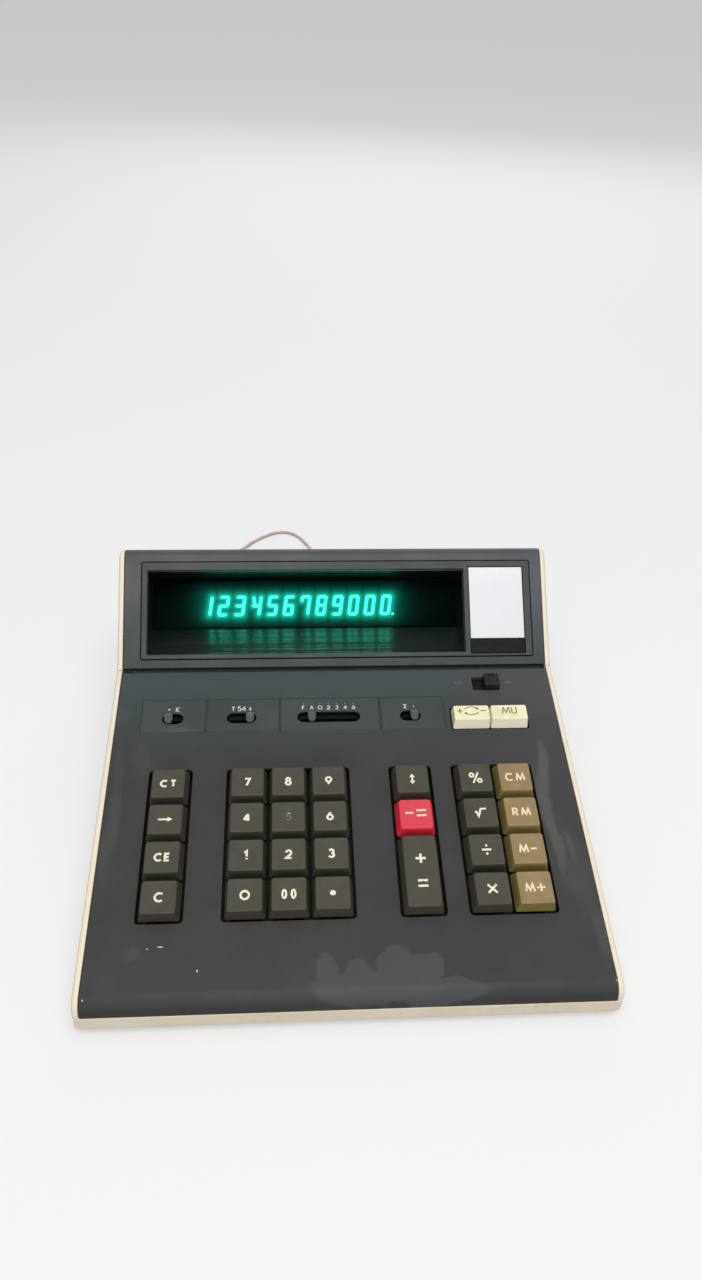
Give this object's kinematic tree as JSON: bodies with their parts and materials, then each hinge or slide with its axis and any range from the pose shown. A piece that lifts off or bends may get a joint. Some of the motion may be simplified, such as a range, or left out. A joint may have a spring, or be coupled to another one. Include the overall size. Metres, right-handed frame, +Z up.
{
  "type": "desktop calculator",
  "caption": "Desktop calculator with a sloping key field, slide switches, a hooded tube display and a mains lead.",
  "frame": {"origin": "on the table, under the middle of the case; the mains lead behind it doesn't count", "axes": "+X to the user's right, +Y from the user to the back of the case, +Z up"},
  "size_m": [0.228, 0.3895, 0.0947],
  "materials": {
    "cream_casing": "moulded, fine satin",
    "charcoal_paint": "moulded, fine matt texture",
    "bezel_plastic": "moulded, satin",
    "gloss_black": "moulded, glossy",
    "smoked_filter": "smoked, clear, polished",
    "tube_glass": "clear glass",
    "silver_plate": "satin, bare",
    "dark_key": "moulded, satin, worn",
    "khaki_key": "moulded, satin, worn",
    "red_key": "moulded, glossy",
    "pale_key": "moulded, satin",
    "smoked_knob": "moulded, glossy",
    "black_plastic": "moulded",
    "circuit_board": "lacquered laminate",
    "transformer_steel": "laminated, varnished",
    "foot_rubber": "moulded",
    "pale_lead": "flexible sheath, satin"
  },
  "bodies": {
    "case": {"lower_case": "cream_casing", "front_case": "cream_casing", "rear_case": "cream_casing", "keyboard_panel": "charcoal_paint", "hood_shell": "charcoal_paint", "switch_label": "charcoal_paint", "display_bezel": "bezel_plastic", "bright_plate": "silver_plate", "shadow_box": "gloss_black", "display_filter": "smoked_filter", "display_tube": "tube_glass", "display_board": "circuit_board", "key_frame": "black_plastic", "contact_board": "circuit_board", "switch_bank": "black_plastic", "logic_board": "circuit_board", "transformer": "transformer_steel", "foot_front_left": "foot_rubber", "foot_front_right": "foot_rubber", "foot_rear_left": "foot_rubber", "foot_rear_right": "foot_rubber", "lead_relief": "pale_lead", "mains_lead": "pale_lead", "lead_coil": "pale_lead", "mains_plug": "pale_lead", "coil_tie": "black_plastic"},
    "key_clear_total": {"key_clear_total": "dark_key"},
    "key_step_back": {"key_step_back": "dark_key"},
    "key_clear_entry": {"key_clear_entry": "dark_key"},
    "key_clear": {"key_clear": "dark_key"},
    "key_7": {"key_7": "dark_key"},
    "key_4": {"key_4": "dark_key"},
    "key_1": {"key_1": "dark_key"},
    "key_0": {"key_0": "dark_key"},
    "key_8": {"key_8": "dark_key"},
    "key_5": {"key_5": "dark_key"},
    "key_2": {"key_2": "dark_key"},
    "key_double_0": {"key_double_0": "dark_key"},
    "key_9": {"key_9": "dark_key"},
    "key_6": {"key_6": "dark_key"},
    "key_3": {"key_3": "dark_key"},
    "key_point": {"key_point": "dark_key"},
    "key_exchange": {"key_exchange": "dark_key"},
    "key_plus_equals": {"key_plus_equals": "dark_key"},
    "key_percent": {"key_percent": "dark_key"},
    "key_root": {"key_root": "dark_key"},
    "key_divide": {"key_divide": "dark_key"},
    "key_multiply": {"key_multiply": "dark_key"},
    "key_minus_equals": {"key_minus_equals": "red_key"},
    "key_memory_clear": {"key_memory_clear": "khaki_key"},
    "key_memory_recall": {"key_memory_recall": "khaki_key"},
    "key_memory_minus": {"key_memory_minus": "khaki_key"},
    "key_memory_plus": {"key_memory_plus": "khaki_key"},
    "key_sign_change": {"key_sign_change": "pale_key"},
    "key_mark_up": {"key_mark_up": "pale_key"},
    "constant_slider": {"constant_slider": "smoked_knob"},
    "rounding_slider": {"rounding_slider": "smoked_knob"},
    "decimal_slider": {"decimal_slider": "smoked_knob"},
    "total_slider": {"total_slider": "smoked_knob"},
    "power_slider": {"power_slider": "black_plastic"}
  },
  "joints": [
    {"name": "key_clear_total_press", "type": "slide", "parent": "case", "child": "key_clear_total", "axis": [0, 0.1908, -0.9816], "range_m": [0, 0.0035], "stiffness_N_per_m": 100, "springref_m": -0.0025},
    {"name": "key_step_back_press", "type": "slide", "parent": "case", "child": "key_step_back", "axis": [0, 0.1908, -0.9816], "range_m": [0, 0.0035], "stiffness_N_per_m": 100, "springref_m": -0.0025},
    {"name": "key_clear_entry_press", "type": "slide", "parent": "case", "child": "key_clear_entry", "axis": [0, 0.1908, -0.9816], "range_m": [0, 0.0035], "stiffness_N_per_m": 100, "springref_m": -0.0025},
    {"name": "key_clear_press", "type": "slide", "parent": "case", "child": "key_clear", "axis": [0, 0.1908, -0.9816], "range_m": [0, 0.0035], "stiffness_N_per_m": 100, "springref_m": -0.0025},
    {"name": "key_7_press", "type": "slide", "parent": "case", "child": "key_7", "axis": [0, 0.1908, -0.9816], "range_m": [0, 0.0035], "stiffness_N_per_m": 100, "springref_m": -0.0025},
    {"name": "key_4_press", "type": "slide", "parent": "case", "child": "key_4", "axis": [0, 0.1908, -0.9816], "range_m": [0, 0.0035], "stiffness_N_per_m": 100, "springref_m": -0.0025},
    {"name": "key_1_press", "type": "slide", "parent": "case", "child": "key_1", "axis": [0, 0.1908, -0.9816], "range_m": [0, 0.0035], "stiffness_N_per_m": 100, "springref_m": -0.0025},
    {"name": "key_0_press", "type": "slide", "parent": "case", "child": "key_0", "axis": [0, 0.1908, -0.9816], "range_m": [0, 0.0035], "stiffness_N_per_m": 100, "springref_m": -0.0025},
    {"name": "key_8_press", "type": "slide", "parent": "case", "child": "key_8", "axis": [0, 0.1908, -0.9816], "range_m": [0, 0.0035], "stiffness_N_per_m": 100, "springref_m": -0.0025},
    {"name": "key_5_press", "type": "slide", "parent": "case", "child": "key_5", "axis": [0, 0.1908, -0.9816], "range_m": [0, 0.0035], "stiffness_N_per_m": 100, "springref_m": -0.0025},
    {"name": "key_2_press", "type": "slide", "parent": "case", "child": "key_2", "axis": [0, 0.1908, -0.9816], "range_m": [0, 0.0035], "stiffness_N_per_m": 100, "springref_m": -0.0025},
    {"name": "key_double_0_press", "type": "slide", "parent": "case", "child": "key_double_0", "axis": [0, 0.1908, -0.9816], "range_m": [0, 0.0035], "stiffness_N_per_m": 100, "springref_m": -0.0025},
    {"name": "key_9_press", "type": "slide", "parent": "case", "child": "key_9", "axis": [0, 0.1908, -0.9816], "range_m": [0, 0.0035], "stiffness_N_per_m": 100, "springref_m": -0.0025},
    {"name": "key_6_press", "type": "slide", "parent": "case", "child": "key_6", "axis": [0, 0.1908, -0.9816], "range_m": [0, 0.0035], "stiffness_N_per_m": 100, "springref_m": -0.0025},
    {"name": "key_3_press", "type": "slide", "parent": "case", "child": "key_3", "axis": [0, 0.1908, -0.9816], "range_m": [0, 0.0035], "stiffness_N_per_m": 100, "springref_m": -0.0025},
    {"name": "key_point_press", "type": "slide", "parent": "case", "child": "key_point", "axis": [0, 0.1908, -0.9816], "range_m": [0, 0.0035], "stiffness_N_per_m": 100, "springref_m": -0.0025},
    {"name": "key_exchange_press", "type": "slide", "parent": "case", "child": "key_exchange", "axis": [0, 0.1908, -0.9816], "range_m": [0, 0.0035], "stiffness_N_per_m": 100, "springref_m": -0.0025},
    {"name": "key_plus_equals_press", "type": "slide", "parent": "case", "child": "key_plus_equals", "axis": [0, 0.1908, -0.9816], "range_m": [0, 0.0035], "stiffness_N_per_m": 100, "springref_m": -0.0025},
    {"name": "key_percent_press", "type": "slide", "parent": "case", "child": "key_percent", "axis": [0, 0.1908, -0.9816], "range_m": [0, 0.0035], "stiffness_N_per_m": 100, "springref_m": -0.0025},
    {"name": "key_root_press", "type": "slide", "parent": "case", "child": "key_root", "axis": [0, 0.1908, -0.9816], "range_m": [0, 0.0035], "stiffness_N_per_m": 100, "springref_m": -0.0025},
    {"name": "key_divide_press", "type": "slide", "parent": "case", "child": "key_divide", "axis": [0, 0.1908, -0.9816], "range_m": [0, 0.0035], "stiffness_N_per_m": 100, "springref_m": -0.0025},
    {"name": "key_multiply_press", "type": "slide", "parent": "case", "child": "key_multiply", "axis": [0, 0.1908, -0.9816], "range_m": [0, 0.0035], "stiffness_N_per_m": 100, "springref_m": -0.0025},
    {"name": "key_minus_equals_press", "type": "slide", "parent": "case", "child": "key_minus_equals", "axis": [0, 0.1908, -0.9816], "range_m": [0, 0.0035], "stiffness_N_per_m": 100, "springref_m": -0.0025},
    {"name": "key_memory_clear_press", "type": "slide", "parent": "case", "child": "key_memory_clear", "axis": [0, 0.1908, -0.9816], "range_m": [0, 0.0035], "stiffness_N_per_m": 100, "springref_m": -0.0025},
    {"name": "key_memory_recall_press", "type": "slide", "parent": "case", "child": "key_memory_recall", "axis": [0, 0.1908, -0.9816], "range_m": [0, 0.0035], "stiffness_N_per_m": 100, "springref_m": -0.0025},
    {"name": "key_memory_minus_press", "type": "slide", "parent": "case", "child": "key_memory_minus", "axis": [0, 0.1908, -0.9816], "range_m": [0, 0.0035], "stiffness_N_per_m": 100, "springref_m": -0.0025},
    {"name": "key_memory_plus_press", "type": "slide", "parent": "case", "child": "key_memory_plus", "axis": [0, 0.1908, -0.9816], "range_m": [0, 0.0035], "stiffness_N_per_m": 100, "springref_m": -0.0025},
    {"name": "key_sign_change_press", "type": "slide", "parent": "case", "child": "key_sign_change", "axis": [0, 0.1908, -0.9816], "range_m": [0, 0.0035], "stiffness_N_per_m": 100, "springref_m": -0.0025},
    {"name": "key_mark_up_press", "type": "slide", "parent": "case", "child": "key_mark_up", "axis": [0, 0.1908, -0.9816], "range_m": [0, 0.0035], "stiffness_N_per_m": 100, "springref_m": -0.0025},
    {"name": "constant_slider_slide", "type": "slide", "parent": "case", "child": "constant_slider", "axis": [1, 0, 0], "range_m": [0, 0.00425]},
    {"name": "rounding_slider_slide", "type": "slide", "parent": "case", "child": "rounding_slider", "axis": [1, 0, 0], "range_m": [-0.0085, 0]},
    {"name": "decimal_slider_slide", "type": "slide", "parent": "case", "child": "decimal_slider", "axis": [1, 0, 0], "range_m": [-0.00425, 0.02125]},
    {"name": "total_slider_slide", "type": "slide", "parent": "case", "child": "total_slider", "axis": [1, 0, 0], "range_m": [-0.00425, 0]},
    {"name": "power_slider_slide", "type": "slide", "parent": "case", "child": "power_slider", "axis": [1, 0, 0], "range_m": [-0.0055, 0]}
  ]
}
